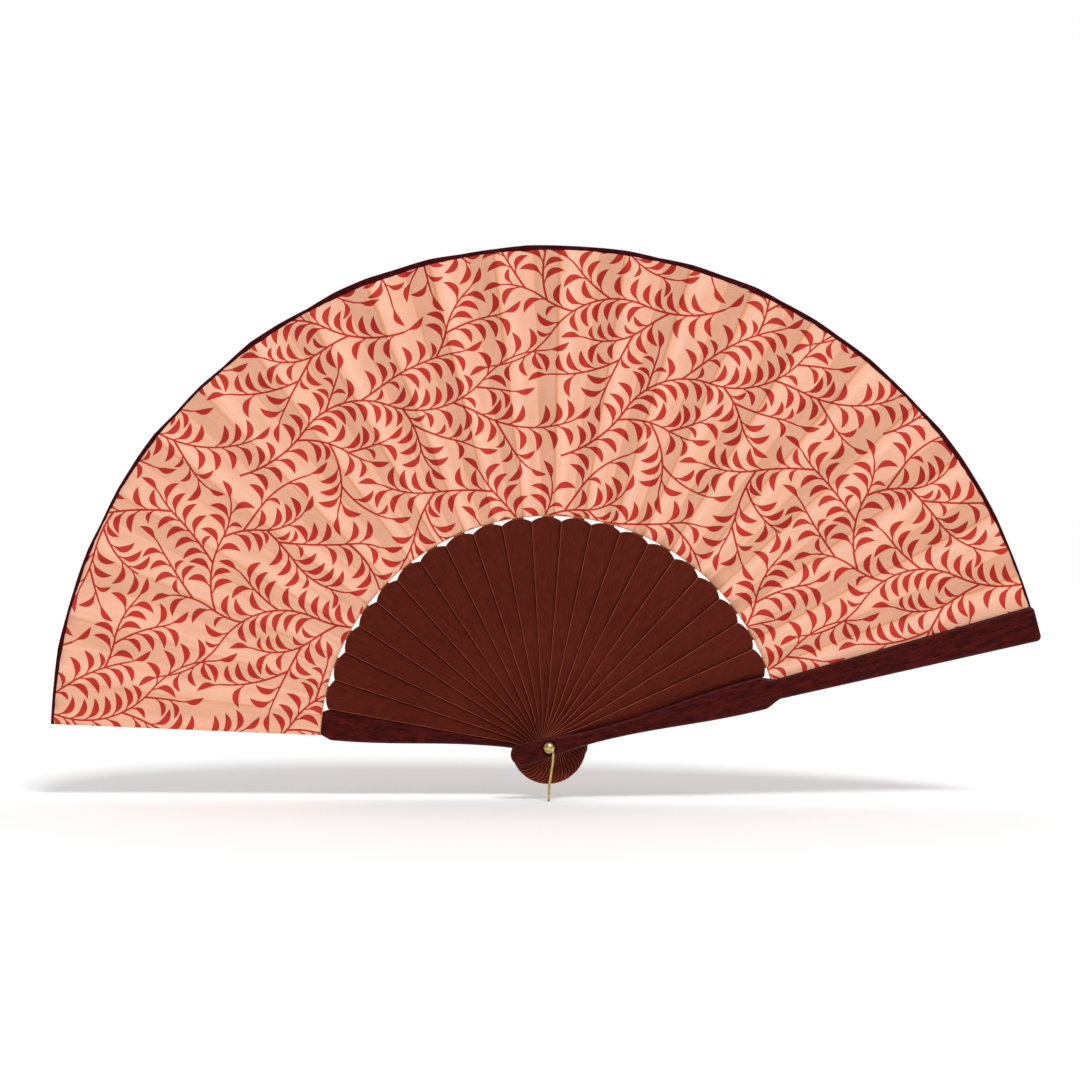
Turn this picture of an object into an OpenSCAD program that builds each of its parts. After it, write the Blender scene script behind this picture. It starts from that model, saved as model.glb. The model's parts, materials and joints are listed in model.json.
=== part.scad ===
// Sandalwood folding fan with a printed cloth leaf, standing open.
// The fan is drawn lying on the XY plane with its front up, and stand() turns it upright.
// The rivet's axis is the Y axis, the front of the fan faces -Y, and +Z is up.
// Millimetres and degrees. Angles are counted from +X, anticlockwise as seen from the front.

/* [Fan] */
// Number of thin sticks between the two guards
ribs = 20; // [12:1:20]
// Angle of the rear guard
rear_angle = 174.6; // [150:0.1:178]
// Angle from the front guard to the rear guard when the fan is open
spread = 160.3; // [120:0.1:162]
// Radius of the leaf's outer edge
leaf_outer_r = 214; // [180:1:240]
// Radius of the leaf's inner edge
leaf_inner_r = 98.3; // [90:0.1:110]

/* [Guards] */
// Thickness of a guard's blade
guard_t = 3; // [2:0.1:5]
// How far the blade's outer face stands above the handle's
blade_step = 0.2; // [0.1:0.05:0.5]
// Radius of the round head beyond the rivet
guard_head_r = 4.9; // [3.5:0.1:5.5]
// How far the head reaches past the rivet
guard_tail = 16.7; // [12:0.1:18]
// Width at the waist
guard_waist_w = 5.8; // [5:0.1:8]
// Distance of the waist from the rivet
guard_waist_x = 21; // [15:1:30]
// Width across the shoulder
guard_shoulder_w = 14; // [12:0.1:16]
// Distance of the shoulder from the rivet
guard_shoulder_x = 93; // [85:0.5:95]
// Width of the neck beyond the shoulder
guard_neck_w = 8.6; // [7:0.1:10]
// Distance of the neck from the rivet
guard_neck_x = 100.5; // [98:0.5:104]
// Width of the blade's end
guard_end_w = 15; // [12:0.1:16]
// Radius of the corners of the blade's end
guard_corner_r = 1.6; // [0.5:0.1:3]

/* [Ribs] */
// Thickness of a rib's handle
rib_t = 0.65; // [0.5:0.01:0.66]
// Distance from one rib to the next through the pack
rib_step = 0.75; // [0.75:0.01:1]
// Radius of the round head beyond the rivet
rib_head_r = 4.2; // [3:0.1:5]
// How far the head reaches past the rivet
rib_tail = 16.2; // [12:0.1:18]
// Width at the waist
rib_waist_w = 5.6; // [5:0.1:7]
// Distance of the waist from the rivet
rib_waist_x = 17; // [12:1:25]
// Width across the shoulder
rib_shoulder_w = 12.8; // [10:0.1:13]
// Distance of the shoulder from the rivet
rib_shoulder_x = 96; // [88:0.1:97]
// Thickness of the slip that carries the leaf
slip_t = 0.3; // [0.2:0.01:0.3]
// Angle that the slip covers, seen from the rivet
slip_angle = 2.9; // [2:0.1:2.9]
// How far the slip leans clockwise from its rib's middle, to lie along the pleat's ridge
slip_lean = 0.44; // [0:0.01:0.46]
// Distance of the slip's end from the rivet
slip_end_r = 206; // [170:1:209]

/* [Leaf] */
// Thickness of the cloth
cloth_t = 0.15; // [0.1:0.01:0.15]
// Angle of one pleat panel, seen from the rivet
panel_angle = 3.82; // [3.82:0.01:4.2]
// How far the leaf runs on past the rear guard's panel
leaf_overhang = 0.8; // [0:0.1:1.5]
// Width of the tape along the outer edge
binding_w = 2.4; // [1.5:0.1:4]

/* [Rivet and loop] */
// Radius of the rivet's pin
pin_r = 1.4; // [1:0.05:2]
// Radial clearance of every stick on the pin
pin_clearance = 0.08; // [0.05:0.01:0.1]
// Radius of the domed caps
cap_r = 2.4; // [2:0.05:3]
// Height of the domed caps
cap_h = 1.5; // [1:0.1:2]
// Radius of the loop's wire
wire_r = 0.55; // [0.4:0.05:0.7]
// Distance of the loop's cross wire from the rivet
loop_reach = 22.4; // [22:0.1:30]
// Clearance between the loop's eyes and their neighbours
eye_gap = 0.15; // [0.1:0.01:0.3]

/* [Hidden] */
$fn = 64;
gap = rib_step - rib_t;
pitch = spread / (ribs + 1);
// heights through the pack, from the back up, with the pack centred on zero
pack_t = 2 * guard_t + gap + ribs * rib_step;
handle_t = guard_t - blade_step;
ribs_z = -pack_t / 2 + guard_t + gap;
front_z = ribs_z + ribs * rib_step;
// heights inside one rib's layer: a free fold of the leaf, the slip, then the panel glued on it
fold_z = 0.02;
slip_z = 0.2;
panel_z = slip_z + slip_t;
rebate = slip_z + cloth_t;
fold_wall = 0.06;
hair = 0.003;
binding_r = leaf_outer_r - binding_w;
guard_face = pack_t / 2 - blade_step;
eye_z = guard_face + eye_gap;
eye_t = 2 * wire_r;
eye_r = 2.1;
leg_r = wire_r - 0.05;
cap_z = eye_z + eye_t + eye_gap;
steps = 12;

function two(i) = i < 10 ? str("0", i) : str(i);
function rib_name(i) = str("rib_", two(i));
function panel_name(i) = str("leaf_panel_", two(i));
function angle_of(i) = rear_angle - i * pitch;
function layer_z(i) = ribs_z + (i - 1) * rib_step;
// the back face of the leaf panel glued on stick i, with the guards as the first and last stick
function cloth_z(i) =
    i == 0 ? ribs_z - gap - cloth_t :
    i == ribs + 1 ? front_z + rebate - cloth_t :
    layer_z(i) + panel_z;
function ease(a, b, t) = a + (b - a) * (1 - cos(180 * t)) / 2;
function mirrored(pts) = concat(pts, [for (i = [len(pts) - 1:-1:0]) [pts[i][0], -pts[i][1]]]);

module stand() { rotate([90, 0, 0]) children(); }
module turn_to(i) { rotate([0, 0, angle_of(i)]) children(); }

// a round head behind the rivet, drawn as the first points of an outline
function head(tail, r) =
    [for (i = [0:steps]) [-tail + r - r * cos(90 * i / steps), r * sin(90 * i / steps)]];

// the straight or swelling side of a handle from its head to its shoulder
function handle_side(head_x, head_r, waist_x, waist_w, end_x, end_w) = concat(
    [for (i = [1:steps]) [
        head_x + (waist_x - head_x) * i / steps,
        ease(head_r, waist_w / 2, i / steps)]],
    [for (i = [1:steps]) [
        waist_x + (end_x - waist_x) * i / steps,
        ease(waist_w / 2, end_w / 2, i / steps)]]
);

module bore() {
    translate([0, 0, -guard_t]) cylinder(r = pin_r + pin_clearance, h = 4 * guard_t);
}

module guard_handle_outline() {
    side = concat(
        head(guard_tail, guard_head_r),
        handle_side(guard_head_r - guard_tail, guard_head_r, guard_waist_x, guard_waist_w,
            guard_shoulder_x, guard_shoulder_w),
        [[guard_shoulder_x + 1, guard_shoulder_w / 2 - 0.1],
         [guard_neck_x - 1, guard_neck_w / 2 + 0.2],
         [guard_neck_x, guard_neck_w / 2]]
    );
    polygon(mirrored(side));
}

module guard_blade_outline() {
    turn_x = leaf_outer_r - guard_corner_r;
    turn_y = guard_end_w / 2 - guard_corner_r;
    corner = [for (i = [0:steps]) [
        turn_x + guard_corner_r * sin(90 * i / steps),
        turn_y + guard_corner_r * cos(90 * i / steps)]];
    polygon(mirrored(concat([[guard_neck_x, guard_neck_w / 2]], corner)));
}

// a guard with its inner face at z = 0; the blade's inner face is cut back for the leaf
module guard(cut_back) {
    color("#4a1716") difference() {
        union() {
            linear_extrude(handle_t) guard_handle_outline();
            linear_extrude(guard_t) guard_blade_outline();
        }
        bore();
        translate([leaf_inner_r - 0.3, -guard_end_w, -1])
            cube([leaf_outer_r, 2 * guard_end_w, cut_back + 1]);
    }
}

module front_guard() {
    stand() turn_to(ribs + 1) translate([0, 0, front_z]) guard(rebate);
}

module rear_guard() {
    stand() turn_to(0) translate([0, 0, ribs_z - gap]) mirror([0, 0, 1]) guard(cloth_t);
}

module rib_handle_outline() {
    rise = leaf_inner_r - rib_shoulder_x;
    arc_r = (rib_shoulder_w * rib_shoulder_w / 4 + rise * rise) / (2 * rise);
    arc_angle = asin(rib_shoulder_w / 2 / arc_r);
    shoulder = [for (i = [0:steps]) [
        leaf_inner_r - arc_r + arc_r * cos(arc_angle * (1 - i / steps)),
        arc_r * sin(arc_angle * (1 - i / steps))]];
    waist = [for (i = [1:steps]) [
        rib_head_r - rib_tail + (rib_waist_x + rib_tail - rib_head_r) * i / steps,
        ease(rib_head_r, rib_waist_w / 2, i / steps)]];
    polygon(mirrored(concat(head(rib_tail, rib_head_r), waist, shoulder)));
}

module slip_outline() {
    start_r = leaf_inner_r - 3;
    half = tan(slip_angle / 2);
    polygon(mirrored([
        [start_r, start_r * half],
        [slip_end_r - 1, (slip_end_r - 1) * half],
        [slip_end_r, slip_end_r * half - 1]]));
}

module rib(i) {
    color("#5b2015") stand() turn_to(i) translate([0, 0, layer_z(i)]) {
        difference() {
            linear_extrude(rib_t) rib_handle_outline();
            bore();
        }
        rotate([0, 0, -slip_lean]) translate([0, 0, slip_z]) linear_extrude(slip_t) slip_outline();
    }
}

// a flat piece of a ring, from angle a to angle b, either way round
module sector(a, b, inner_r, outer_r, z, t) {
    rotate([0, 0, a]) rotate_extrude(angle = b - a)
        translate([inner_r, z]) square([outer_r - inner_r, t]);
}

// the cloth glued on stick i; on the rear guard it reaches on to the left
module panel(i, inner_r = leaf_inner_r, outer_r = binding_r) {
    half = panel_angle / 2;
    past = i == 0 ? leaf_overhang : 0;
    color("#eeb593") stand()
        sector(angle_of(i) - half, angle_of(i) + half + past, inner_r, outer_r, cloth_z(i), cloth_t);
}

module leaf_panel_rear() { panel(0); }
module leaf_panel_front() { panel(ribs + 1); }

// the free cloth between stick i and the next one, with the step up to that stick's panel
module fold(i) {
    left = angle_of(i) - panel_angle / 2;
    right = angle_of(i + 1) + panel_angle / 2;
    z = layer_z(i + 1) + fold_z;
    sector(right, left, leaf_inner_r, binding_r, z, cloth_t);
    sector(right, right + fold_wall, leaf_inner_r, binding_r, z, cloth_z(i + 1) + cloth_t - z);
}

module leaf_folds() {
    color("#f6c3a2") stand() for (i = [0:ribs]) fold(i);
}

// the tape's stretch from stick i's panel to the far side of the next one
module tape(i) {
    left = angle_of(i) - panel_angle / 2 - hair;
    fold_right = angle_of(i + 1) + panel_angle / 2;
    panel_right = angle_of(i + 1) - panel_angle / 2;
    sector(left, panel_right, binding_r, leaf_outer_r, cloth_z(i + 1), cloth_t);
    sector(left, fold_right, binding_r, leaf_outer_r, cloth_z(i), cloth_z(i + 1) + cloth_t - cloth_z(i));
}

module edge_binding() {
    color("#5a1a22") {
        panel(0, binding_r, leaf_outer_r);
        stand() for (i = [0:ribs]) tape(i);
    }
}

module rivet_pin() {
    color("#b08d4a") stand()
        translate([0, 0, -cap_z]) cylinder(r = pin_r, h = 2 * cap_z);
}

// a cap is the top of a sphere
module cap() {
    ball_r = (cap_r * cap_r + cap_h * cap_h) / (2 * cap_h);
    color("#b08d4a") intersection() {
        translate([0, 0, cap_h - ball_r]) sphere(r = ball_r);
        cylinder(r = cap_r, h = cap_h);
    }
}

module rivet_cap_front() { stand() translate([0, 0, cap_z]) cap(); }
module rivet_cap_back() { stand() mirror([0, 0, 1]) translate([0, 0, cap_z]) cap(); }

// one eye round the pin and the leg that runs down from it
module loop_side() {
    difference() {
        union() {
            translate([0, 0, eye_z]) cylinder(r = eye_r, h = eye_t);
            translate([0, 0, eye_z + eye_t / 2]) rotate([90, 0, 0])
                cylinder(r = leg_r, h = loop_reach);
        }
        translate([0, 0, eye_z - 1]) cylinder(r = pin_r + pin_clearance, h = eye_t + 2);
    }
}

module tassel_loop() {
    half_w = eye_z + eye_t;
    color("#b08d4a") stand() {
        loop_side();
        mirror([0, 0, 1]) loop_side();
        translate([0, -loop_reach, -half_w]) cylinder(r = wire_r, h = 2 * half_w);
    }
}

rear_guard();
front_guard();
for (i = [1:ribs]) rib(i);
leaf_panel_rear();
for (i = [1:ribs]) panel(i);
leaf_panel_front();
leaf_folds();
edge_binding();
rivet_pin();
rivet_cap_front();
rivet_cap_back();
tassel_loop();
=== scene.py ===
"""A folding fan with a printed cloth leaf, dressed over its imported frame.

Lengths are millimetres until a mesh is made. A point of the fan is (x, z) as seen from its front,
and its depth grows towards the viewer, along -Y. Angles are degrees from +X, anticlockwise."""
import json
import math
import random
from collections import Counter

import bmesh
import bpy
import numpy as np
from mathutils import Matrix, Vector
from mathutils.geometry import delaunay_2d_cdt

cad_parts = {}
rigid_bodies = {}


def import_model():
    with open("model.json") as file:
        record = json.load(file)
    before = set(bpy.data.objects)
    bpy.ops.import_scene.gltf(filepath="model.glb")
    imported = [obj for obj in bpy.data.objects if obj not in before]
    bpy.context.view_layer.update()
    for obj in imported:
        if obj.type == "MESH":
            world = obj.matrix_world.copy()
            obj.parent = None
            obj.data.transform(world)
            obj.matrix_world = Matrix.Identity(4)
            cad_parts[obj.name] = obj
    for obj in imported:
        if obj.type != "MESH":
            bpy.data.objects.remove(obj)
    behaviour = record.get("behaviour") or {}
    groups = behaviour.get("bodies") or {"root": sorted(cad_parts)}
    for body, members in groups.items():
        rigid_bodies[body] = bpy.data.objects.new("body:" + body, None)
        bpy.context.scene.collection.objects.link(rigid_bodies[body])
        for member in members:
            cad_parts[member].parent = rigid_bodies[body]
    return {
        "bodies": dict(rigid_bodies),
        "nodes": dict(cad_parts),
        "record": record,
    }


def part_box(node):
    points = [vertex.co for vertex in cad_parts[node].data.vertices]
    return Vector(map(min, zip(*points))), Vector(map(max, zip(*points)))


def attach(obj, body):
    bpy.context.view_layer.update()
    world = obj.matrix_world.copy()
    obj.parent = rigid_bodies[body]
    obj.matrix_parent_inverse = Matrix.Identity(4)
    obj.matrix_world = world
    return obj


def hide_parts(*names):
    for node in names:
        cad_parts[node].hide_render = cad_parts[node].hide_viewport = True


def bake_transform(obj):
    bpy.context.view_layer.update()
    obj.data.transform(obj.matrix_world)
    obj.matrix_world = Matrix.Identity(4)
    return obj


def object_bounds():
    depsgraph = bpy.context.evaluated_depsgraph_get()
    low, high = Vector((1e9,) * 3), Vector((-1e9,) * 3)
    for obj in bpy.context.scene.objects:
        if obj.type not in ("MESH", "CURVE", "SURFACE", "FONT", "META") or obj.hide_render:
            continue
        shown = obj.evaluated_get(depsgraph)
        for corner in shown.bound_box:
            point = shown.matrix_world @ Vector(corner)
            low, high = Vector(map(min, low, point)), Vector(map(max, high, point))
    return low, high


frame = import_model()
CAD_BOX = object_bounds()

MM = 0.001
# how bright a white card facing the camera is, in white backgrounds
STUDIO_LIGHT = 1.13

# the sticks, counted from the rear guard (0) at the left to the front guard at the right
RIBS = sum(body.startswith("rib_") for body in frame["bodies"])
SPREAD = frame["record"]["behaviour"]["joints"][0]["range_deg"][1]
REAR_ANGLE = 174.6
PITCH = SPREAD / (RIBS + 1)
# the cloth glued on a stick reaches this far to each side, and a little further at the leaf's left end
PANEL_HALF = 1.91
OVERHANG = 1.1

# the leaf
INNER_R = 98.3
CLOTH_R = 212.9
OUTER_R = 214.0
CLOTH_T = 0.12
PLEAT_RISE = 1.4
# over how many sticks the pleats grow from each end of the leaf
PLEAT_FADE = 10
# where a free panel creases, from 0 at the left stick to 1 at the right one, and how deep it lies there
FREE_CREASES = (0.081, 0.775)
FREE_DEPTHS = (-0.50, -0.47)
LAST_FREE_DEPTHS = (-0.20, -0.10)
SAG = 0.03
# (angle, how far the leaf's outer edge stands out from a true arc)
REACH = ((20, -0.2), (45, 0.3), (85, 0.4), (110, 0.0), (145, 1.6), (176, 0.7))


def front_of(node):
    """Depth of a CAD node's front face."""
    return -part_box(node)[0].y / MM


def rib_name(i):
    return f"rib_{i:02d}"


def stick_angle(i):
    return REAR_ANGLE - i * PITCH


LEVELS = [front_of("leaf_panel_rear")]
LEVELS += [front_of(f"leaf_panel_{i:02d}") for i in range(1, RIBS + 1)]
LEVELS += [front_of("leaf_panel_front")]
# the ribs lie almost against each other
RIB_GAP = 0.03
HANDLE_T = LEVELS[2] - LEVELS[1] - RIB_GAP


# ---------------------------------------------------------------- shape of the leaf

def pleat_tilt(i, r):
    """How far the cloth on stick i stands forward along its right edge, and back along its left."""
    fade = min(1, i / PLEAT_FADE, (RIBS + 1 - i) / PLEAT_FADE)
    return PLEAT_RISE * fade * (r - INNER_R) / (OUTER_R - INNER_R)


def panel_depth(i, phi, r):
    """Depth of the cloth glued on stick i, phi degrees anticlockwise of the stick's middle."""
    return LEVELS[i] - pleat_tilt(i, r) * max(-1, min(1, phi / PANEL_HALF))


def free_depth(i, s, r):
    """Depth of the free cloth between stick i - 1 and stick i, s of the way across."""
    rise, rise_before = pleat_tilt(i, r), pleat_tilt(i - 1, r)
    near, far = LAST_FREE_DEPTHS if i == RIBS + 1 else FREE_DEPTHS
    step = LEVELS[i - 1] - LEVELS[i] + rise_before - rise
    offset = np.interp(s, (0, *FREE_CREASES, 1), (step, near, far, 0))
    return LEVELS[i] - rise * (2 * s - 1) + offset


def across(theta):
    """(stick, None) where the cloth lies on a stick, or (stick to the right, s) where it is free."""
    u = (REAR_ANGLE - theta) / PITCH
    i = max(0, min(RIBS + 1, round(u)))
    phi = theta - stick_angle(i)
    if abs(phi) <= PANEL_HALF or (i == 0 and phi > 0) or (i == RIBS + 1 and phi < 0):
        return i, None
    i = int(math.floor(u)) + 1
    return i, (stick_angle(i - 1) - PANEL_HALF - theta) / (PITCH - 2 * PANEL_HALF)


def leaf_depth(theta, r):
    """Depth of the cloth's front face, with a slight sag where it is free."""
    i, s = across(theta)
    if s is None:
        return panel_depth(i, theta - stick_angle(i), r)
    sag = SAG * math.sin(math.pi * s) ** 2 * math.sin(r / 5.5 + 2.1 * i)
    return free_depth(i, s, r) + sag


def leaf_follow(theta):
    """How much of the front guard's turn the cloth there makes."""
    i, s = across(theta)
    return (i if s is None else i - 1 + s) / (RIBS + 1)


def crease_angles():
    """Angles of the lines along which the leaf may bend, from left to right."""
    made = []
    for i in range(RIBS + 2):
        made += [stick_angle(i) + PANEL_HALF, stick_angle(i) - PANEL_HALF]
        if i <= RIBS:
            free = PITCH - 2 * PANEL_HALF
            made += [stick_angle(i) - PANEL_HALF - s * free for s in FREE_CREASES]
    made[0] += OVERHANG
    return made


def on_fan(theta, r, depth):
    """The point of the row frame, in metres."""
    a = math.radians(theta)
    return Vector((r * math.cos(a), -depth, r * math.sin(a))) * MM


def on_cloth(theta, r, depth):
    """The point of the leaf, whose outer part is cut unevenly."""
    share = max(0, r - INNER_R) / (OUTER_R - INNER_R)
    return on_fan(theta, r + share * float(np.interp(theta, *zip(*REACH))), depth)


# ---------------------------------------------------------------- the print

# the two steps by which the print repeats
TILE_A = (137.0, 9.0)
TILE_B = (5.0, 124.0)
TILE_AREA = TILE_A[0] * TILE_B[1] - TILE_A[1] * TILE_B[0]
STEM_STEP = 1.0
STEM_CLEAR = 10.5
STEM_HALF_W = (0.48, 0.34)
# a branch leaves at an angle, curls on, flips over after a while and bends back
BRANCH_ANGLE = (32, 46)
BRANCH_CURL = (-0.2, 1.8)
BRANCH_FLIP = (12, 36)
BRANCH_BACK = (0.8, 2.8)
BRANCH_LONGEST = (32, 62)
# how long a branch may stay near the stem it leaves
BRANCH_START = 15
LEAFLET_PITCH = 3.05
LEAFLET_LENGTH = 11.8
LEAFLET_LEAN = 14
LEAFLET_BEND = 84
TIP_BEND = 25
# how far the blade stands out on its round side and on its hollow side
BLADE_OUTER = 2.1
BLADE_INNER = 0.4
STALK_SHARE = 0.28
STALK_HALF_W = 0.3
LEAFLET_STEPS = 9
LEAFLET_CLEAR = 0.45
STALK_CLEAR = 0.3
LEAFLET_SCALES = (1, 0.9, 0.8, 0.7, 0.6)
TIP_SCALES = (0.9, 0.75, 0.6, 0.5)
PRINT_SEED = 16
# two long stems that the others branch from: x, z, heading, then (length, degrees it turns through)
MAIN_STEMS = (
    (0, 0, 15, ((35, 40), (40, -75), (45, 70), (30, -50))),
    (70, 62, 200, ((35, -45), (45, 80), (30, -50))))
# how many tries at branches, and the fewest points that each round of tries keeps
BRANCH_ROUNDS = ((2500, 27), (2500, 18))


class Taken:
    """Who covers each cell of the repeating tile."""

    def __init__(self, cell):
        self.nx, self.nz = round(TILE_A[0] / cell), round(TILE_B[1] / cell)
        self.cell = cell
        self.owners = {}

    def key(self, x, z):
        s = (x * TILE_B[1] - z * TILE_B[0]) / TILE_AREA
        t = (z * TILE_A[0] - x * TILE_A[1]) / TILE_AREA
        return math.floor(s * self.nx) % self.nx, math.floor(t * self.nz) % self.nz

    def add(self, x, z, owner):
        self.owners.setdefault(self.key(x, z), set()).add(owner)

    def add_line(self, a, b, owner):
        parts = max(1, int(math.dist(a, b) / (0.8 * self.cell)))
        for k in range(parts + 1):
            self.add(a[0] + (b[0] - a[0]) * k / parts, a[1] + (b[1] - a[1]) * k / parts, owner)

    def near(self, x, z, reach, own=frozenset()):
        """Whether anyone but `own` is within reach."""
        n = math.ceil(reach / self.cell)
        i, j = self.key(x, z)
        for di in range(-n, n + 1):
            for dj in range(-n, n + 1):
                if di * di + dj * dj > n * n:
                    continue
                owners = self.owners.get(((i + di) % self.nx, (j + dj) % self.nz))
                if owners and not owners <= own:
                    return True
        return False


def stepped(point, turn):
    """The next point (x, z, heading) along a stem that turns by `turn` degrees."""
    x, z, heading = point
    heading += math.radians(turn)
    return x + STEM_STEP * math.cos(heading), z + STEM_STEP * math.sin(heading), heading


def main_stem(x, z, heading, arcs):
    points = [(x, z, math.radians(heading))]
    for length, turn in arcs:
        for _ in range(round(length / STEM_STEP)):
            points.append(stepped(points[-1], turn * STEM_STEP / length))
    return points


def branch(taken, start, parent, bends, flip, longest):
    """A stem that bends one way, then the other, and ends where another one is near."""
    points = [start]
    for n in range(int(longest / STEM_STEP)):
        run = n * STEM_STEP
        x, z, heading = stepped(points[-1], bends[run >= flip] * STEM_STEP)
        own = {parent} if run < BRANCH_START else frozenset()
        # a short branch may be nearer to others than a long one
        if taken.near(x, z, min(STEM_CLEAR, 2.5 + 0.62 * run), own):
            break
        # and it may not curl back on itself
        early = points[:max(0, n - int(2.2 * STEM_CLEAR) + 1)]
        if any(math.dist((x, z), p[:2]) < STEM_CLEAR for p in early):
            break
        points.append((x, z, heading))
    return points


def stems(rnd):
    """The stems' points, and which stems carry others."""
    taken = Taken(1.5)
    made, parents = [], set()

    def keep(points):
        for x, z, _ in points:
            taken.add(x, z, len(made))
        made.append(points)

    for x, z, heading, arcs in MAIN_STEMS:
        keep(main_stem(x, z, heading, arcs))
    for tries, fewest in BRANCH_ROUNDS:
        for _ in range(tries):
            parent = rnd.randrange(len(made))
            joint = rnd.randrange(5, max(6, len(made[parent]) - 8))
            x, z, heading = made[parent][joint]
            side = rnd.choice((-1, 1))
            heading += side * math.radians(rnd.uniform(*BRANCH_ANGLE))
            curl = side * rnd.uniform(*BRANCH_CURL)
            flip = rnd.uniform(*BRANCH_FLIP)
            back = -side * rnd.uniform(*BRANCH_BACK)
            longest = rnd.uniform(*BRANCH_LONGEST)
            points = branch(taken, (x, z, heading), parent, (curl, back), flip, longest)
            if len(points) >= fewest:
                keep(points[:-2])
                parents.add(parent)
    return made, parents


def leaflet(start, side, scale, bend=LEAFLET_BEND):
    """The outer and inner edge of a leaflet: a thin stalk that bends away, then a pointed blade."""
    x, z, heading = start
    heading += side * math.radians(LEAFLET_LEAN)
    step = LEAFLET_LENGTH * scale / LEAFLET_STEPS
    outer_edge, inner_edge = [], []
    for k in range(LEAFLET_STEPS + 1):
        t = k / LEAFLET_STEPS
        blade = max(0, (t - STALK_SHARE) / (1 - STALK_SHARE))
        stalk = STALK_HALF_W * (1 - blade)
        outer = stalk + BLADE_OUTER * scale * math.sin(math.pi * blade ** 0.85)
        inner = stalk + BLADE_INNER * scale * math.sin(math.pi * blade)
        nx, nz = -side * math.sin(heading), side * math.cos(heading)
        outer_edge.append((x - nx * outer, z - nz * outer))
        inner_edge.append((x + nx * inner, z + nz * inner))
        heading += side * math.radians(bend) / LEAFLET_STEPS * (1.2 if t < 0.5 else 0.8)
        x += step * math.cos(heading)
        z += step * math.sin(heading)
    return outer_edge, inner_edge


def place_leaflet(taken, made, stem, start, side, scales):
    """Adds the largest leaflet that fits. A side of 0 stands for the leaflet at a stem's tip."""
    own = frozenset({stem})
    x, z, heading = start
    for scale in scales:
        if side:
            outer, inner = leaflet(start, side, scale)
        else:
            outer, inner = leaflet((x, z, heading - math.radians(10)), 1, scale, TIP_BEND)
        if any(taken.near(*p, LEAFLET_CLEAR) for p in outer[4:] + inner[4:]):
            continue
        if any(taken.near(*p, STALK_CLEAR, own) for p in outer[2:4]):
            continue
        owner = f"leaflet {len(made)}"
        for a, b in [*zip(outer[3:], inner[3:]), *zip(outer[3:], outer[4:])]:
            taken.add_line(a, b, owner)
        made.append((stem, outer + inner[-2::-1]))
        return


def stem_outline(points):
    """A closed line round a stem, which thins towards its tip."""
    left, right = [], []
    spaced = points[:-1:2] + points[-1:]
    for n, (x, z, heading) in enumerate(spaced):
        half = np.interp(n / len(spaced), (0, 1), STEM_HALF_W)
        dx, dz = -half * math.sin(heading), half * math.cos(heading)
        left.append((x + dx, z + dz))
        right.append((x - dx, z - dz))
    return right + left[::-1]


def print_tile():
    """Outlines of the stems and leaflets in one tile, without the stems that stay almost bare."""
    lines, parents = stems(random.Random(PRINT_SEED))
    taken = Taken(0.5)
    for stem, points in enumerate(lines):
        for a, b in zip(points, points[1:]):
            taken.add_line(a[:2], b[:2], stem)
    leaflets = []
    for stem, points in enumerate(lines):
        place_leaflet(taken, leaflets, stem, points[-1], 0, (*TIP_SCALES, 0.4))
    for stem in range(len(MAIN_STEMS)):
        x, z, heading = lines[stem][0]
        place_leaflet(taken, leaflets, stem, (x, z, heading + math.pi), 0, TIP_SCALES)
    for stem, points in enumerate(lines):
        side = 1 if stem % 2 else -1
        for run in np.arange(4, len(points) - 3.5, LEAFLET_PITCH):
            place_leaflet(taken, leaflets, stem, points[int(run)], side, LEAFLET_SCALES)
            side = -side
    dressed = Counter(stem for stem, _ in leaflets)
    kept = [stem for stem in range(len(lines)) if stem in parents or dressed[stem] > 2]
    return ([stem_outline(lines[stem]) for stem in kept]
            + [outline for stem, outline in leaflets if stem in kept])


def anticlockwise(polygon):
    turns = [a[0] * b[1] - a[1] * b[0] for a, b in zip(polygon, polygon[1:] + polygon[:1])]
    return polygon if sum(turns) > 0 else polygon[::-1]


def on_leaf(x, z):
    return INNER_R - 2 < math.hypot(x, z) < OUTER_R and z > -15


def print_outlines():
    """The tile repeated over the leaf."""
    tile = [anticlockwise(polygon) for polygon in print_tile()]
    made = []
    for i in range(-3, 4):
        for j in range(-2, 4):
            dx, dz = i * TILE_A[0] + j * TILE_B[0], i * TILE_A[1] + j * TILE_B[1]
            moved = ([(x + dx, z + dz) for x, z in polygon] for polygon in tile)
            made += [polygon for polygon in moved if any(on_leaf(*p) for p in polygon)]
    return made


# ---------------------------------------------------------------- materials

def seen(r, g, b):
    """The surface colour that looks like this on screen, 0 to 255, in the studio's light."""
    linear = [c / 255 / 12.92 if c <= 10 else ((c / 255 + 0.055) / 1.055) ** 2.4 for c in (r, g, b)]
    return (*[c / STUDIO_LIGHT for c in linear], 1)


def add(tree, kind, inputs=(), **settings):
    """A new shader node, its inputs given as values or as sockets to link."""
    made = tree.nodes.new("ShaderNode" + kind)
    for key, value in settings.items():
        setattr(made, key, value)
    for key, value in dict(inputs).items():
        if isinstance(value, bpy.types.NodeSocket):
            tree.links.new(value, made.inputs[key])
        else:
            made.inputs[key].default_value = value
    return made


def ramp(tree, factor, stops):
    """A colour ramp over stops, each one (position, colour)."""
    made = add(tree, "ValToRGB", {"Fac": factor})
    elements = made.color_ramp.elements
    while len(elements) < len(stops):
        elements.new(0.5)
    for element, (position, colour) in zip(elements, stops):
        element.position = position
        element.color = colour
    return made.outputs["Color"]


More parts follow.
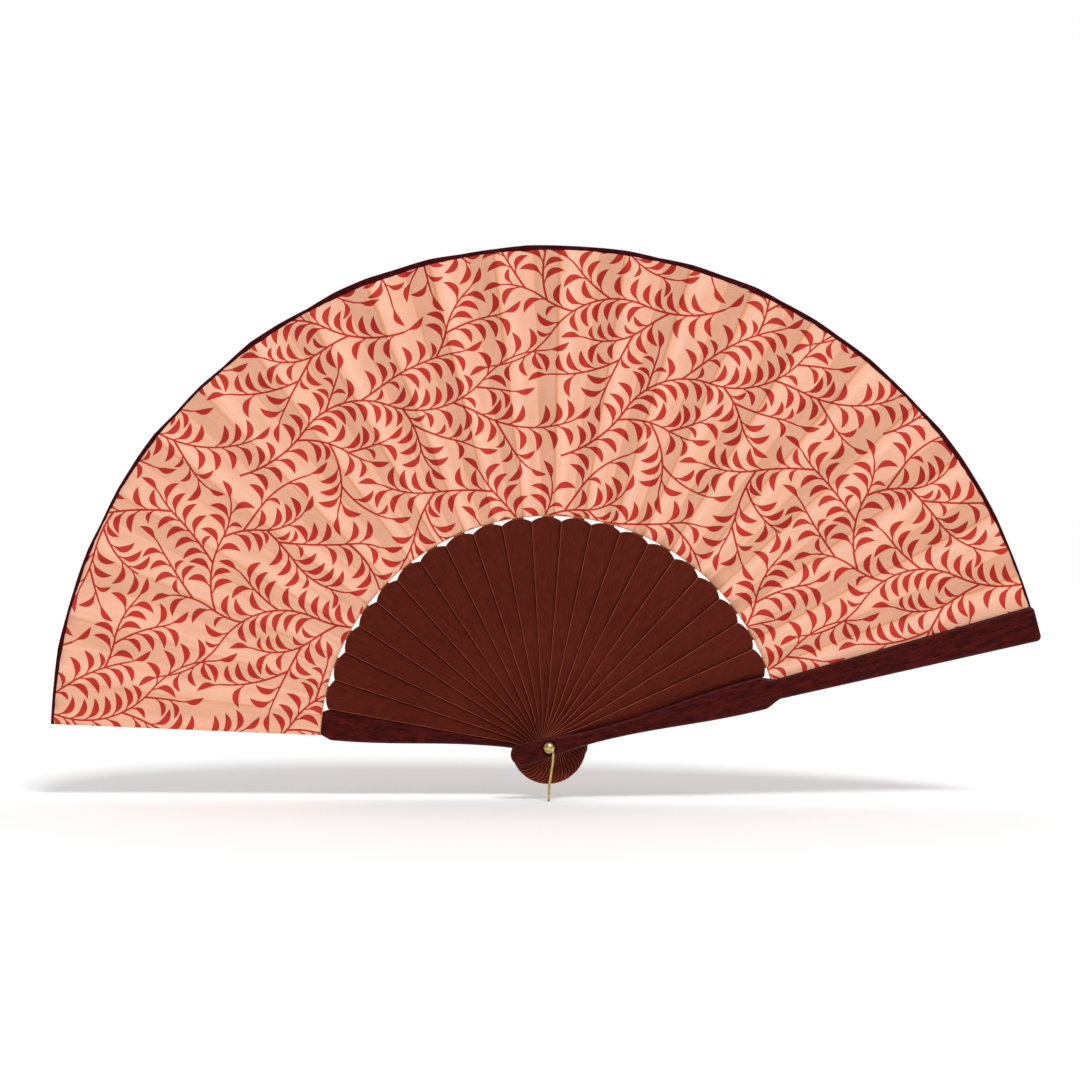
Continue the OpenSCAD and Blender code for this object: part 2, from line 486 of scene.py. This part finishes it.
def mixed(tree, blend, factor, a, b):
    made = add(tree, "Mix", data_type="RGBA", blend_type=blend)
    for socket, value in ((made.inputs[0], factor), (made.inputs[6], a), (made.inputs[7], b)):
        if isinstance(value, bpy.types.NodeSocket):
            tree.links.new(value, socket)
        else:
            socket.default_value = value
    return made.outputs[2]


def new_material(name, roughness, **sockets):
    """(material, its tree, its shader) with the numbers that are the same all over."""
    made = bpy.data.materials.new(name)
    made.use_nodes = True
    shader = made.node_tree.nodes["Principled BSDF"]
    shader.inputs["Roughness"].default_value = roughness
    for key, value in sockets.items():
        shader.inputs[key.replace("_", " ")].default_value = value
    return made, made.node_tree, shader


def noise(tree, coordinates, scale, stretch=(1, 1, 1), detail=4.0):
    """Noise with the given number of waves to the metre, along each axis."""
    placed = add(tree, "Mapping", {"Vector": coordinates, "Scale": stretch})
    return add(tree, "TexNoise", {
        "Vector": placed.outputs["Vector"], "Scale": scale, "Detail": detail}).outputs["Fac"]


def weave(tree, uv, thread):
    """Height of a plain weave of threads that are `thread` mm apart."""
    waves = []
    for direction in ("X", "Y"):
        waves.append(add(tree, "TexWave", {
            "Vector": uv, "Scale": 0.314 / thread, "Distortion": 0.6, "Detail": 1.0},
            bands_direction=direction).outputs["Fac"])
    return add(tree, "Math", {0: waves[0], 1: waves[1]}, operation="MAXIMUM").outputs[0]


def cloth_material(name, stops):
    """Thin printed cloth: the sticks show through it as bands, and its cut edge is yellower."""
    made, tree, shader = new_material(name, 0.85, Specular_IOR_Level=0.2, Sheen_Weight=0.05)
    uv = add(tree, "UVMap", uv_map="cloth").outputs["UV"]
    pleat = add(tree, "Attribute", attribute_name="pleat").outputs["Fac"]
    radius = add(tree, "Attribute", attribute_name="radius").outputs["Fac"]
    wander = noise(tree, uv, 0.05, detail=2.0)
    wander = add(tree, "MapRange", {"Value": wander, "To Min": 0.97, "To Max": 1.03}).outputs["Result"]
    moved = add(tree, "Math", {0: pleat, 1: wander}, operation="ADD").outputs[0]
    phase = add(tree, "Math", {0: moved, 1: 1.0}, operation="FLOORED_MODULO").outputs[0]
    shown = add(tree, "MapRange", {
        "Value": pleat, "From Min": 0.0, "From Max": 9.0, "To Min": 0.45, "To Max": 1.0})
    # towards the leaf's left end the bands fade into the colour of the free cloth
    middle = stops[-4][1]
    ground = mixed(tree, "MIX", shown.outputs["Result"], middle, ramp(tree, phase, stops))
    blotch = noise(tree, uv, 0.06)
    tone = mixed(tree, "MIX", blotch, (0.9, 0.9, 0.9, 1), (1.09, 1.09, 1.09, 1))
    ground = mixed(tree, "MULTIPLY", 1.0, ground, tone)
    polar_place = add(tree, "CombineXYZ", {"X": pleat, "Y": radius}).outputs["Vector"]
    crumple = noise(tree, polar_place, 1.0, (4.5, 0.035, 1), 3.0)
    # painted shade and light: the crumple noise that also makes the bump darkens the colour in the
    # hollows and lightens and cools it on the crests
    ground = mixed(tree, "MULTIPLY", 0.5, ground, ramp(tree, crumple, [
        (0.3, (0.84, 0.8, 0.76, 1)), (0.55, (1, 1, 1, 1)), (0.75, (1.03, 1.05, 1.06, 1))]))
    slub = noise(tree, uv, 1.4, (0.25, 1, 1), 2.0)
    ground = mixed(tree, "MULTIPLY", 0.2, ground, ramp(tree, slub, [
        (0.35, (0.8, 0.78, 0.75, 1)), (0.65, (1, 1, 1, 1))]))
    edge = add(tree, "MapRange", {
        "Value": radius, "From Min": INNER_R + 0.1, "From Max": INNER_R + 0.55}).outputs["Result"]
    colour = mixed(tree, "MIX", edge, CUT_EDGE, ground)
    tree.links.new(colour, shader.inputs["Base Color"])
    creased = add(tree, "Bump", {"Height": crumple, "Strength": 0.5, "Distance": 0.0012})
    bump = add(tree, "Bump", {
        "Height": weave(tree, uv, 0.35), "Strength": 0.25, "Distance": 0.00012,
        "Normal": creased.outputs["Normal"]})
    tree.links.new(bump.outputs["Normal"], shader.inputs["Normal"])
    return made


def banded(ridge, crease_shadow, stick, light, mid):
    """Stops across one pleat, from a stick's middle to the next: stick, a painted shadow line along the
    crease, ridge, free cloth, ridge, stick.
    """
    return [
        (0.0, stick), (0.22, stick), (0.236, crease_shadow), (0.25, ridge), (0.266, ridge), (0.285, mid),
        (0.44, light), (0.62, mid), (0.84, mid), (0.856, ridge), (0.872, stick), (1.0, stick)]


def wood_material(name, dark, light, pore, roughness, grain, gloss, strength):
    """Wood whose grain runs along the piece's own X axis, with painted shade (ambient occlusion) where
    another piece lies close.
    """
    made, tree, shader = new_material(name, roughness, Specular_IOR_Level=gloss)
    place = add(tree, "TexCoord").outputs["Object"]
    figure = noise(tree, place, grain, (0.25, 1, 1), 5.0)
    pores = noise(tree, place, grain * 3, (0.2, 1, 1), 2.0)
    clouds = noise(tree, place, 60, (0.6, 1, 1), 4.0)
    wood = ramp(tree, figure, [(0.3, dark), (0.7, light)])
    wood = mixed(tree, "MULTIPLY", strength, wood, ramp(tree, pores, [
        (0.38, pore), (0.5, (1, 1, 1, 1)), (0.66, (1.25, 1.2, 1.2, 1))]))
    wood = mixed(tree, "MULTIPLY", 1.0, wood, mixed(
        tree, "MIX", clouds, (0.8, 0.8, 0.8, 1), (1.2, 1.2, 1.2, 1)))
    # painted shade: ambient occlusion darkens the wood where another piece lies close, as a contact
    # shadow
    painted_contact_shade = add(tree, "AmbientOcclusion", {"Distance": 0.003}).outputs["AO"]
    wood = mixed(tree, "MULTIPLY", 1.0, wood, ramp(tree, painted_contact_shade, [
        (0.5, (0.3, 0.25, 0.25, 1)), (0.95, (1, 1, 1, 1))]))
    tree.links.new(wood, shader.inputs["Base Color"])
    bump = add(tree, "Bump", {"Height": pores, "Strength": 0.3, "Distance": 0.0001})
    tree.links.new(bump.outputs["Normal"], shader.inputs["Normal"])
    return made


def tape_material():
    """Dark burgundy tape with a fine cross thread."""
    made, tree, shader = new_material("binding_cloth", 0.85, Specular_IOR_Level=0.03)
    place = add(tree, "TexCoord").outputs["Object"]
    mottle = noise(tree, place, 420, detail=3.0)
    colour = ramp(tree, mottle, [(0.3, seen(44, 5, 8)), (0.7, seen(78, 14, 18))])
    tree.links.new(colour, shader.inputs["Base Color"])
    bump = add(tree, "Bump", {
        "Height": noise(tree, place, 2600, detail=1.0), "Strength": 0.5, "Distance": 0.0002})
    tree.links.new(bump.outputs["Normal"], shader.inputs["Normal"])
    return made


def brass_material():
    """Aged brass: polished in noise patches, browner where it is rough."""
    made, tree, shader = new_material("brass", 0.3, Metallic=1.0)
    place = add(tree, "TexCoord").outputs["Object"]
    tarnish = noise(tree, place, 900, detail=4.0)
    colour = ramp(tree, tarnish, [(0.35, seen(176, 146, 84)), (0.65, seen(236, 212, 146))])
    tree.links.new(colour, shader.inputs["Base Color"])
    rough = add(tree, "MapRange", {
        "Value": tarnish, "From Min": 0.3, "From Max": 0.7, "To Min": 0.42, "To Max": 0.24})
    tree.links.new(rough.outputs["Result"], shader.inputs["Roughness"])
    return made


def floor_material():
    made, tree, shader = new_material("floor_paint", 0.9)
    place = add(tree, "TexCoord").outputs["Object"]
    colour = mixed(tree, "MIX", noise(tree, place, 3), (0.92, 0.92, 0.92, 1), (0.95, 0.95, 0.95, 1))
    tree.links.new(colour, shader.inputs["Base Color"])
    return made


CUT_EDGE = seen(206, 142, 92)
# the second colour in each band list is a painted shadow line along the crease
CLOTH_FRONT = cloth_material("leaf_cloth_front", banded(
    seen(240, 164, 116), seen(208, 142, 110), seen(230, 169, 139),
    seen(255, 200, 173), seen(249, 187, 157)))
PRINT_FRONT = cloth_material("leaf_print_front", banded(
    seen(176, 38, 26), seen(156, 30, 22), seen(172, 36, 28),
    seen(206, 58, 46), seen(196, 50, 38)))
CLOTH_BACK = cloth_material("leaf_cloth_back", banded(
    seen(238, 178, 145), seen(232, 170, 138), seen(244, 187, 158),
    seen(248, 194, 166), seen(247, 190, 162)))
PRINT_BACK = cloth_material("leaf_print_back", banded(
    seen(205, 110, 92), seen(200, 104, 88), seen(212, 112, 96),
    seen(220, 122, 104), seen(218, 118, 100)))
RIB_WOOD = wood_material(
    "rib_wood", seen(78, 26, 16), seen(90, 32, 21), (0.82, 0.78, 0.76, 1), 0.7, 700, 0.03, 0.5)
# the ribs' rounded edges are lighter: partly worn stain, partly a painted highlight where the edges
# catch the light
RIB_EDGE_WEAR_AND_HIGHLIGHT = wood_material(
    "rib_edge_wear_and_highlight", seen(138, 62, 42), seen(164, 84, 56), (0.7, 0.6, 0.55, 1), 0.6, 500, 0.08, 0.5)
GUARD_COLOURS = (seen(46, 9, 8), seen(84, 22, 19), (0.6, 0.5, 0.48, 1))
GUARD_WOOD = wood_material("guard_wood", *GUARD_COLOURS, 0.4, 700, 0.05, 0.8)
GUARD_EDGE = wood_material("guard_edge", *GUARD_COLOURS, 0.45, 700, 0.16, 0.8)
TAPE = tape_material()
BRASS = brass_material()


# ---------------------------------------------------------------- building meshes

def new_piece(name, mesh, materials):
    made = bpy.data.objects.new(name, mesh)
    bpy.context.scene.collection.objects.link(made)
    for material in materials:
        mesh.materials.append(material)
    return made


def apply_modifiers(piece):
    """Makes the piece's modifiers part of its mesh."""
    graph = bpy.context.evaluated_depsgraph_get()
    mesh = bpy.data.meshes.new_from_object(piece.evaluated_get(graph))
    piece.modifiers.clear()
    piece.data = mesh


def plate(name, loops, thickness, bevel, rounds=1):
    """A flat plate in the XZ plane between depths 0 and thickness, its edges rounded.
    The first loop is its outline and the others are holes."""
    curve = bpy.data.curves.new(name, "CURVE")
    curve.dimensions = "2D"
    curve.fill_mode = "BOTH"
    curve.extrude = (thickness / 2 - bevel) * MM
    curve.bevel_depth = bevel * MM
    curve.bevel_resolution = rounds
    curve.offset = -bevel * MM
    for loop in loops:
        spline = curve.splines.new("POLY")
        spline.points.add(len(loop) - 1)
        for point, (x, z) in zip(spline.points, loop):
            point.co = (x * MM, z * MM, 0, 1)
        spline.use_cyclic_u = True
    holder = bpy.data.objects.new(name, curve)
    mesh = bpy.data.meshes.new_from_object(holder)
    bpy.data.objects.remove(holder)
    mesh.transform(Matrix.Rotation(math.pi / 2, 4, "X"))
    mesh.transform(Matrix.Translation((0, -thickness / 2 * MM, 0)))
    shape = bmesh.new()
    shape.from_mesh(mesh)
    bmesh.ops.remove_doubles(shape, verts=shape.verts, dist=1e-6)
    bmesh.ops.recalc_face_normals(shape, faces=shape.faces)
    return shape


def circle(radius, count=32):
    angles = [-2 * math.pi * k / count for k in range(count)]
    return [(radius * math.cos(a), radius * math.sin(a)) for a in angles]


def mirrored(side):
    """A closed outline from its upper side, given from tail to end."""
    return side + [(x, -z) for x, z in reversed(side) if abs(z) > 1e-6]


def ease(a, b, t):
    """The height at t on a smooth step from a to b."""
    return a + (b - a) * (1 - math.cos(math.pi * t)) / 2


def point_along(piece, angle):
    """Turns a piece that was made along +X so that it points along `angle`."""
    piece.matrix_world = Matrix.Rotation(-math.radians(angle), 4, "Y")


def soften(mesh):
    mesh.polygons.foreach_set("use_smooth", [True] * len(mesh.polygons))


def smooth(shape, mesh, sharp=35):
    """Turns the shape into the mesh, smooth but for edges of more than `sharp` degrees."""
    shape.to_mesh(mesh)
    shape.free()
    soften(mesh)
    mesh.set_sharp_from_angle(angle=math.radians(sharp))
    return mesh


# ---------------------------------------------------------------- the leaf

def cloth_rows(step):
    count = round((CLOTH_R - INNER_R) / step)
    return [INNER_R + (CLOTH_R - INNER_R) * k / count for k in range(count + 1)]


def leaf_outline(angles):
    """The leaf's edge as (angle, radius), anticlockwise from its inner edge's left end."""
    fine = []
    for a, b in zip(angles, angles[1:]):
        parts = max(1, round((a - b) / 0.7))
        fine += [a + (b - a) * k / parts for k in range(parts)]
    fine.append(angles[-1])
    return [(a, INNER_R) for a in fine] + [(a, CLOTH_R) for a in reversed(fine)]


def polar(theta, r):
    a = math.radians(theta)
    return Vector((r * math.cos(a), r * math.sin(a)))


def leaf_pattern(polygons):
    """Triangles of the flat leaf and which of them are printed: (points, faces, printed)."""
    creases = crease_angles()
    points, edges, faces = [], [], []

    def face(outline):
        first = len(points)
        points.extend(outline)
        faces.append(list(range(first, len(points))))

    face([polar(a, r) for a, r in leaf_outline(creases)])
    rows = cloth_rows(6)
    for a in creases[1:-1]:
        first = len(points)
        points.extend(polar(a, r) for r in rows)
        edges += [(first + k, first + k + 1) for k in range(len(rows) - 1)]
    for a, b in zip(creases, creases[1:]):
        if a - b > 1:
            middles = [a + (b - a) * k / round(a - b) for k in range(1, round(a - b))]
            points.extend(polar(m, r) for m in middles for r in rows[1:-1])
    for polygon in polygons:
        face([Vector(p) for p in polygon])
    made = delaunay_2d_cdt(points, edges, faces, 1, 1e-4, True)
    flat, _, triangles, _, _, sources = made
    kept = [(t, max(s) > 0) for t, s in zip(triangles, sources) if 0 in s]
    return flat, [t for t, _ in kept], [p for _, p in kept]


def leaf_faces_mesh(polygons):
    """The cloth's front surface, with its print as faces of a second material."""
    flat, triangles, printed = leaf_pattern(polygons)
    used = sorted({v for t in triangles for v in t})
    place = {v: k for k, v in enumerate(used)}
    polars = [(math.degrees(math.atan2(flat[v].y, flat[v].x)), flat[v].length) for v in used]
    mesh = bpy.data.meshes.new("leaf")
    mesh.from_pydata(
        [on_cloth(a, r, leaf_depth(a, r)) for a, r in polars], [],
        [[place[v] for v in t] for t in triangles])
    mesh.polygons.foreach_set("material_index", [int(p) for p in printed])
    soften(mesh)
    add_cloth_layers(mesh, polars)
    mark_creases(mesh, polars)
    return mesh


def add_cloth_layers(mesh, polars):
    """Where each vertex lies on the cloth, so that colour and weave stay on it as it folds."""
    values = {
        "pleat": [(REAR_ANGLE - a) / PITCH for a, _ in polars],
        "radius": [r for _, r in polars],
        "follow": [leaf_follow(a) for a, _ in polars]}
    for name, numbers in values.items():
        mesh.attributes.new(name, "FLOAT", "POINT").data.foreach_set("value", numbers)
    flat = [polar(a, r) for a, r in polars]
    uv = mesh.uv_layers.new(name="cloth")
    for loop, item in zip(mesh.loops, uv.data):
        item.uv = flat[loop.vertex_index]


def mark_creases(mesh, polars):
    """Makes the mesh's edges along the leaf's creases sharp."""
    creases = crease_angles()[1:-1]
    line = {}
    for k, (a, _) in enumerate(polars):
        c = min(range(len(creases)), key=lambda n: abs(creases[n] - a))
        if abs(creases[c] - a) < 0.002:
            line[k] = c
    for edge in mesh.edges:
        a, b = edge.vertices
        edge.use_edge_sharp = a in line and line[a] == line.get(b)


def follow_guards(piece):
    """Bakes the piece's placing into its mesh and reads each vertex's share of the guards' turn; the
    piece is not folded here.
    """
    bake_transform(piece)
    share = np.zeros(len(piece.data.vertices), np.float32)
    piece.data.attributes["follow"].data.foreach_get("value", share)


def make_leaf(polygons):
    mesh = leaf_faces_mesh(polygons)
    piece = new_piece("leaf", mesh, [CLOTH_FRONT, PRINT_FRONT, CLOTH_BACK, PRINT_BACK])
    shell = piece.modifiers.new("cloth", "SOLIDIFY")
    shell.thickness = CLOTH_T * MM
    shell.offset = -1
    shell.material_offset = 2
    shell.material_offset_rim = 0
    apply_modifiers(piece)
    follow_guards(piece)
    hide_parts(*[n for n in frame["nodes"] if n.startswith("leaf_")])
    return piece


TAPE_SEED = 11
TAPE_INNER_R = 212.4


def at_top(theta):
    """1 at the top of the fan, falling towards its sides."""
    return math.sin(math.radians(theta)) ** 4


def binding_outer(theta, bumps):
    """Radius of the tape's outer edge, which runs straight from one bump to the next."""
    angles = sorted(bumps)
    return float(np.interp(theta, angles, [bumps[a] for a in angles]))


def make_binding():
    """Tape folded round the leaf's outer edge: closed all round, with its hem on both faces."""
    rnd = random.Random(TAPE_SEED)
    creases = crease_angles()
    bumps = {a: OUTER_R + rnd.uniform(-0.9, 0.4) + 0.3 * at_top(a) for a in creases[::2]}
    stations = [a for a, r in leaf_outline(creases) if r == CLOTH_R]
    shape = bmesh.new()
    rings, polars = [], []
    for theta in stations:
        outer = binding_outer(theta, bumps)
        inner = TAPE_INNER_R - 0.7 * at_top(theta) + rnd.uniform(-0.2, 0.2)
        # (radius, how far in front of the cloth) round the tape
        section = [(inner, 0.05), (inner + 0.5, 0.16), (outer - 0.5, 0.14), (outer, 0.0),
                   (outer, -0.14), (outer - 0.5, -0.28), (inner + 0.5, -0.3), (inner, -0.18)]
        ring = []
        for r, rise in section:
            depth = leaf_depth(theta, min(r, CLOTH_R)) + rise
            ring.append(shape.verts.new(on_cloth(theta, r, depth)))
            polars.append((theta, r))
        rings.append(ring)
    for a, b in zip(rings, rings[1:]):
        for k in range(len(a)):
            n = (k + 1) % len(a)
            shape.faces.new((a[k], b[k], b[n], a[n]))
    shape.faces.new(rings[0])
    shape.faces.new(list(reversed(rings[-1])))
    bmesh.ops.recalc_face_normals(shape, faces=shape.faces)
    mesh = smooth(shape, bpy.data.meshes.new("leaf_binding"), 50)
    add_cloth_layers(mesh, polars)
    piece = new_piece("leaf_binding", mesh, [TAPE])
    follow_guards(piece)
    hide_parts("edge_binding")
    return piece


# ---------------------------------------------------------------- the sticks

RIB_TAIL = 16.2
RIB_HEAD_R = 4.2
RIB_WAIST = (17.0, 2.8)
RIB_SHOULDER = (96.0, 6.4)
RIB_TIP = INNER_R - 0.15
# the slip's edges, in degrees from the rib's middle, and how far under the cloth its faces lie
SLIP = (-1.89, 1.01)
SLIP_UNDER = (0.15, 0.41)
SLIP_END_R = 206.0
BORE_R = 1.48
EDGE_ROUND = 0.24
STEPS = 12


def head_points(tail, r):
    quarter = [math.pi / 2 * k / STEPS for k in range(STEPS + 1)]
    return [(-tail + r - r * math.cos(a), r * math.sin(a)) for a in quarter]


def mark_edges(mesh):
    """Gives the second material to the rounded edges, between the flat faces and the sides."""
    for face in mesh.polygons:
        face.material_index = int(0.25 < abs(face.normal.y) < 0.95)


def easing(a, b):
    """Points after a up to b, on a smooth step."""
    return [(a[0] + (b[0] - a[0]) * k / STEPS, ease(a[1], b[1], k / STEPS))
            for k in range(1, STEPS + 1)]


def rib_outline():
    head = head_points(RIB_TAIL, RIB_HEAD_R)
    x, half = RIB_SHOULDER
    rise = RIB_TIP - x
    arc_r = (half * half + rise * rise) / (2 * rise)
    angle = math.asin(half / arc_r)
    top = [(RIB_TIP - arc_r + arc_r * math.cos(angle * (1 - k / STEPS)),
            arc_r * math.sin(angle * (1 - k / STEPS))) for k in range(STEPS + 1)]
    return mirrored(head + easing(head[-1], RIB_WAIST) + top)


def add_slip(shape, i):
    """The thin flexible slip under the leaf, which lies back along its left side as the cloth does."""
    rings = []
    (left, right), (front, back) = SLIP, SLIP_UNDER
    for r in np.linspace(INNER_R - 3, SLIP_END_R, 20):
        ring = []
        for phi, under in ((left, front), (right, front), (right, back), (left, back)):
            depth = panel_depth(i, phi, max(r, INNER_R)) - under
            ring.append(shape.verts.new(on_fan(phi, r, depth)))
        rings.append(ring)
    for a, b in zip(rings, rings[1:]):
        for k in range(4):
            n = (k + 1) % 4
            shape.faces.new((a[k], a[n], b[n], b[k]))
    shape.faces.new(list(reversed(rings[0])))
    shape.faces.new(rings[-1])


def make_rib(i):
    name = rib_name(i)
    shape = plate(name, [rib_outline(), circle(BORE_R)], HANDLE_T, EDGE_ROUND)
    back = LEVELS[i] - HANDLE_T
    bmesh.ops.translate(shape, verts=shape.verts, vec=(0, -back * MM, 0))
    add_slip(shape, i)
    bmesh.ops.recalc_face_normals(shape, faces=shape.faces)
    mesh = smooth(shape, bpy.data.meshes.new("stick_" + name))
    mark_edges(mesh)
    piece = new_piece("stick_" + name, mesh, [RIB_WOOD, RIB_EDGE_WEAR_AND_HIGHLIGHT])
    point_along(piece, stick_angle(i))
    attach(piece, name)
    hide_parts(name)


GUARD_TAIL = 16.7
GUARD_HEAD_R = 4.9
GUARD_WAIST = (21.0, 2.9)
GUARD_SHOULDER = (93.0, 7.0)
GUARD_NECK = (100.5, 4.3)
GUARD_END = (OUTER_R, 7.5)
GUARD_CORNER_R = 2.2
GUARD_T = 3.0
GUARD_ROUND = 1.4
# the blade's outer face stands this much above the handle's
BLADE_STEP = 0.2
# how far a guard is cut back under the leaf glued on it
FRONT_CUT = 0.35
REAR_CUT = 0.15


def guard_outline():
    head = head_points(GUARD_TAIL, GUARD_HEAD_R)
    handle = easing(head[-1], GUARD_WAIST) + easing(GUARD_WAIST, GUARD_SHOULDER)
    neck = [(GUARD_SHOULDER[0] + 1, GUARD_SHOULDER[1] - 0.1), (GUARD_NECK[0] - 1, GUARD_NECK[1] + 0.2),
            GUARD_NECK]
    x, half = GUARD_END
    r = GUARD_CORNER_R
    quarter = [math.pi / 2 * k / STEPS for k in range(STEPS + 1)]
    corner = [(x - r + r * math.sin(a), half - r + r * math.cos(a)) for a in quarter]
    return mirrored(head + handle + neck + corner)


def make_guard(name, stick, inner, side, cut_back):
    """A guard whose inner face is at depth `inner`; side is 1 for the front one, -1 for the rear."""
    shape = plate(name, [guard_outline(), circle(BORE_R)], GUARD_T, GUARD_ROUND, 6)
    for x in (INNER_R - 0.3, INNER_R, GUARD_NECK[0] - 1, GUARD_NECK[0]):
        bmesh.ops.bisect_plane(
            shape, geom=shape.verts[:] + shape.edges[:] + shape.faces[:],
            plane_co=(x * MM, 0, 0), plane_no=(1, 0, 0))
    for v in shape.verts:
        x, across_t = v.co.x / MM, -v.co.y / MM / GUARD_T
        low = cut_back * np.interp(x, (INNER_R - 0.3, INNER_R), (0, 1))
        high = GUARD_T - BLADE_STEP * np.interp(x, (GUARD_NECK[0] - 1, GUARD_NECK[0]), (1, 0))
        v.co.y = -(inner + side * (low + (high - low) * across_t)) * MM
    bmesh.ops.recalc_face_normals(shape, faces=shape.faces)
    mesh = smooth(shape, bpy.data.meshes.new("stick_" + name))
    mark_edges(mesh)
    piece = new_piece("stick_" + name, mesh, [GUARD_WOOD, GUARD_EDGE])
    point_along(piece, stick_angle(stick))
    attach(piece, name)
    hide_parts(name)


# ---------------------------------------------------------------- rivet and wire loop

def make_loop():
    """One bent wire: an eye round each end of the rivet, a leg from each, and a round turn below."""
    low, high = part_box("tassel_loop")
    wire, margin = 0.5, 0.55
    reach = -low.z / MM - margin
    half = high.y / MM - margin
    eye = 1.95
    corner = 3.0
    side = [(eye * math.cos(a), eye * math.sin(a), half)
            for a in np.linspace(math.radians(320), math.radians(-40), 25)]
    side += [(1.75, -2.6, half), (1.6, -5.5, half), (0.9, -10.5, half), (0.25, -15.0, half)]
    turn = [(0, -reach + corner - corner * math.sin(a), half - corner + corner * math.cos(a))
            for a in np.linspace(0, math.pi / 2, 7)]
    front = side + turn
    route = front + [(x, z, -y) for x, z, y in reversed(front)]
    curve = bpy.data.curves.new("wire_loop", "CURVE")
    curve.dimensions = "3D"
    curve.bevel_depth = wire * MM
    curve.bevel_resolution = 4
    curve.use_fill_caps = True
    spline = curve.splines.new("POLY")
    spline.points.add(len(route) - 1)
    for point, (x, z, depth) in zip(spline.points, route):
        point.co = (x * MM, -depth * MM, z * MM, 1)
    holder = bpy.data.objects.new("wire_loop", curve)
    mesh = bpy.data.meshes.new_from_object(holder)
    bpy.data.objects.remove(holder)
    soften(mesh)
    piece = new_piece("wire_loop", mesh, [BRASS])
    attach(piece, "tassel_loop")
    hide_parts("tassel_loop")


def dress_rivet():
    for name in ("rivet_pin", "rivet_cap_front", "rivet_cap_back"):
        mesh = frame["nodes"][name].data
        mesh.materials.clear()
        mesh.materials.append(BRASS)


# ---------------------------------------------------------------- camera, light and floor

CAMERA_LENS = 100.0
CAMERA_SENSOR = 36.0
# how wide the picture is in the plane of the fan, and the point at its middle
FRAME_WIDTH = 461.7
AIM = (-3.85, 88.07)
FLOOR_HALF = 6.0


def make_camera():
    data = bpy.data.cameras.new("camera")
    data.lens = CAMERA_LENS
    data.sensor_width = CAMERA_SENSOR
    data.clip_start = 0.05
    data.clip_end = 50
    camera = bpy.data.objects.new("camera", data)
    distance = FRAME_WIDTH * CAMERA_LENS / CAMERA_SENSOR
    camera.location = (AIM[0] * MM, -distance * MM, AIM[1] * MM)
    camera.rotation_euler = (math.pi / 2, 0, 0)
    bpy.context.scene.collection.objects.link(camera)
    bpy.context.scene.camera = camera


def make_light(direction, strength, spread):
    """A soft distant light that shines from the given direction."""
    data = bpy.data.lights.new("key", "SUN")
    data.energy = strength
    data.angle = math.radians(spread)
    light = bpy.data.objects.new("key", data)
    light.rotation_mode = "QUATERNION"
    light.rotation_quaternion = (-Vector(direction)).to_track_quat("-Z", "Y")
    bpy.context.scene.collection.objects.link(light)


def make_world():
    """A white room behind the fan and a dimmer one in front of it."""
    world = bpy.data.worlds.new("studio")
    world.use_nodes = True
    tree = world.node_tree
    direction = add(tree, "TexCoord").outputs["Generated"]
    depth = add(tree, "SeparateXYZ", {"Vector": direction}).outputs["Y"]
    strength = add(tree, "MapRange", {
        "Value": depth, "From Min": -0.3, "From Max": 0.3, "To Min": 0.42, "To Max": 1.0})
    light = tree.nodes["Background"]
    light.inputs["Color"].default_value = (1, 1, 1, 1)
    tree.links.new(strength.outputs["Result"], light.inputs["Strength"])
    bpy.context.scene.world = world


def make_floor():
    mesh = bpy.data.meshes.new("floor")
    corners = [(x * FLOOR_HALF, y * FLOOR_HALF, 0) for x, y in ((-1, -1), (1, -1), (1, 1), (-1, 1))]
    mesh.from_pydata(corners, [], [(0, 1, 2, 3)])
    mesh.materials.append(floor_material())
    floor = bpy.data.objects.new("floor", mesh)
    floor.location.z = CAD_BOX[0].z
    bpy.context.scene.collection.objects.link(floor)


def make_studio():
    make_world()
    make_light((0.35, -1.1, 1.15), 1.95, 16)
    make_floor()
    bpy.context.scene.view_settings.view_transform = "Standard"


# ---------------------------------------------------------------- the whole fan

make_camera()
make_studio()
binding = make_binding()
leaf = make_leaf(print_outlines())
for number in range(1, RIBS + 1):
    make_rib(number)
make_guard("front_guard", RIBS + 1, LEVELS[RIBS + 1] - FRONT_CUT, 1, FRONT_CUT)
make_guard("rear_guard", 0, LEVELS[0], -1, REAR_CUT)
dress_rivet()
make_loop()

bpy.context.view_layer.update()
